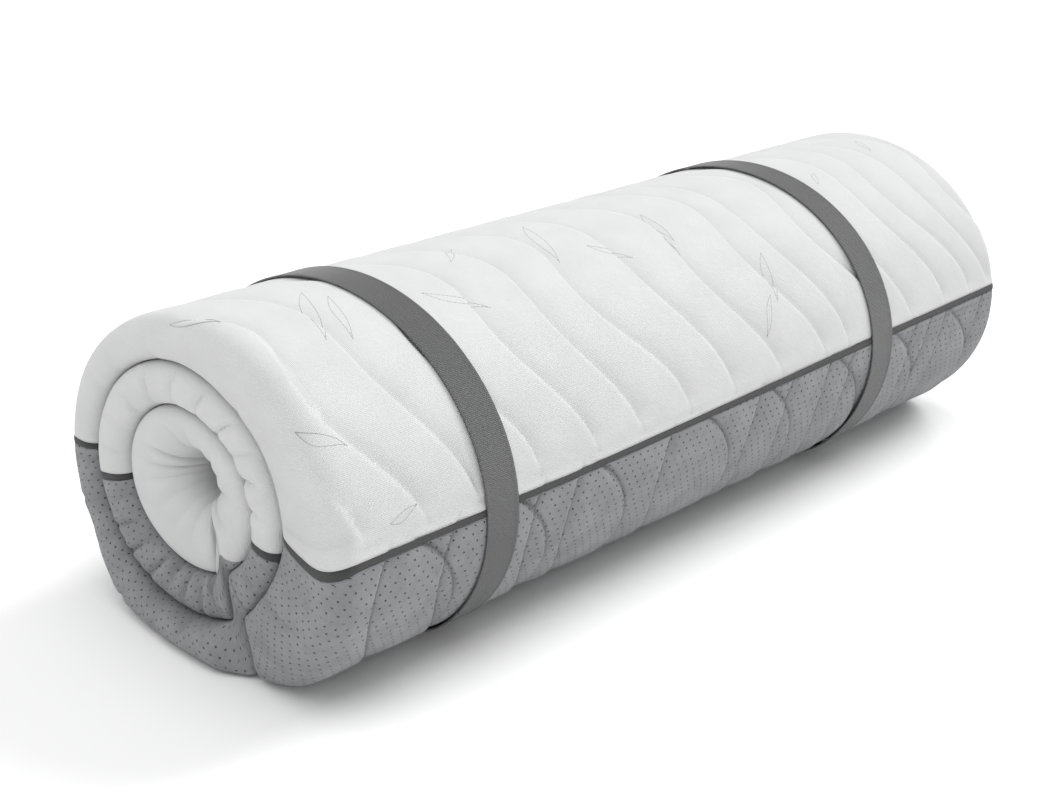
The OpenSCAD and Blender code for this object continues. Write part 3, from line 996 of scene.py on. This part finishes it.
OUTER_PITCH, INNER_PITCH, CORE_PITCH = 3.5, 2.6, 2.2        # rows of vertices along the winding
OUTER_HALF = BINDING_W * OUTER_DEG_PER_MM / 2               # half a binding, in degrees of winding
INNER_HALF = BINDING_W * INNER_DEG_PER_MM / 2
CORE_SEAM_HALF = 0.06
PANELS = [  # name, first and last winding, and the distance between its rows
    ("tail_grey", TAIL_START, SEAM_OUTER_FRONT - OUTER_HALF, OUTER_PITCH),
    ("outer_white", SEAM_OUTER_FRONT + OUTER_HALF, SEAM_OUTER_BACK - OUTER_HALF, OUTER_PITCH),
    ("outer_grey", SEAM_OUTER_BACK + OUTER_HALF, SEAM_INNER_FRONT - INNER_HALF, OUTER_PITCH),
    ("inner_white", SEAM_INNER_FRONT + INNER_HALF, SEAM_INNER_BACK - INNER_HALF, INNER_PITCH),
    ("inner_grey", SEAM_INNER_BACK + INNER_HALF, SEAM_CORE - CORE_SEAM_HALF, INNER_PITCH),
    ("core_white", SEAM_CORE + CORE_SEAM_HALF, CORE_END, CORE_PITCH)]
BINDINGS = [
    ("outer_front", SEAM_OUTER_FRONT, OUTER_DEG_PER_MM),
    ("outer_back", SEAM_OUTER_BACK, OUTER_DEG_PER_MM),
    ("inner_front", SEAM_INNER_FRONT, INNER_DEG_PER_MM),
    ("inner_back", SEAM_INNER_BACK, INNER_DEG_PER_MM)]


def make_cover(white, grey, dark):
    fine, ends = Columns(2.5, 14, 30), Columns(25, 25, 44)
    for name, start, end, pitch in PANELS:
        kind = "core" if name == "core_white" else "turn"
        columns = fine if pitch == OUTER_PITCH else ends
        piece = cover_panel("quilted_" + name, start, end, columns, pitch, kind,
                            closed_start=name == "tail_grey", closed_end=name == "core_white")
        is_grey = name.endswith("grey")
        finished(piece, "roll", grey if is_grey else white, ["cover_" + name])
    for name, seam, deg_per_mm in BINDINGS:
        tape = binding("edge_tape_" + name, seam, deg_per_mm, ends)
        finished(tape, "roll", dark, ["binding_" + name])


LINER_CLEARANCE = 2.2       # room for the relief on the cover's inside
LINER_START, FOAM_START = -2, -1
LINER_END, FOAM_END = CORE_END - 14, CORE_END - 18
FOAM_GAP_SHARE = 0.004


def make_inside():
    columns = Columns(50, 50, 16)
    liner_depth = GAP / 2 + COVER_T + LINER_CLEARANCE
    foam_depth = liner_depth + LINER_T + GAP
    jersey = woven("liner_jersey", 0.7, 0.8, 0.0015, 0.0015, 0.0002)
    liner = foam_layer("jersey_liner", LINER_START, LINER_END, liner_depth, 0, 1, columns)
    finished(liner, "roll", jersey, ["foam_liner"])
    cream = foam_material("memory_foam", (0.80, 0.72, 0.52, 1), (0.86, 0.79, 0.60, 1))
    blue = foam_material("support_foam", (0.55, 0.64, 0.70, 1), (0.62, 0.70, 0.75, 1))
    top = foam_layer("foam_top", FOAM_START, FOAM_END, foam_depth, 0, MEMORY_SHARE, columns)
    finished(top, "roll", cream, ["memory_foam"])
    base_share = MEMORY_SHARE + FOAM_GAP_SHARE
    base = foam_layer("foam_base", FOAM_START, FOAM_END, foam_depth, base_share, 1, columns)
    finished(base, "roll", blue, ["support_foam"])


def make_straps():
    material = woven("elastic_webbing", 0.02, 0.17, 0.0030, 0.0022, 0.0006,
                     roughness=0.36, sheen=0.05, gloss=1.0)
    for side in ("near", "far"):
        loop = webbing(side + "_strap_loop", side + "_strap_webbing", STRAP_LEAN[side])
        finished(loop, side + "_strap", material, [side + "_strap_webbing"])


def give_material(node, material):
    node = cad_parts[node]
    node.data.materials.clear()
    node.data.materials.append(material)


make_camera()
make_stage()
white, grey = white_knit(), grey_knit()
dark = woven("binding_tape", 0.035, 0.075, 0.0016, 0.0016, 0.0002)
make_cover(white, grey, dark)
make_inside()
make_straps()
finished(embroidery(), "roll", thread_material("leaf_thread", 0.26, 0.38))
for side in ("near", "far"):
    give_material(side + "_strap_stitching", thread_material(side + "_strap_thread", 0.03, 0.08))
give_material("zip_tape", woven("zip_tape_weave", 0.05, 0.10, 0.0012, 0.0012, 0.0001))
give_material("zip_chain", coil_material())
give_material("zip_stops", nickel_material())
give_material("zip_slider", nickel_material())
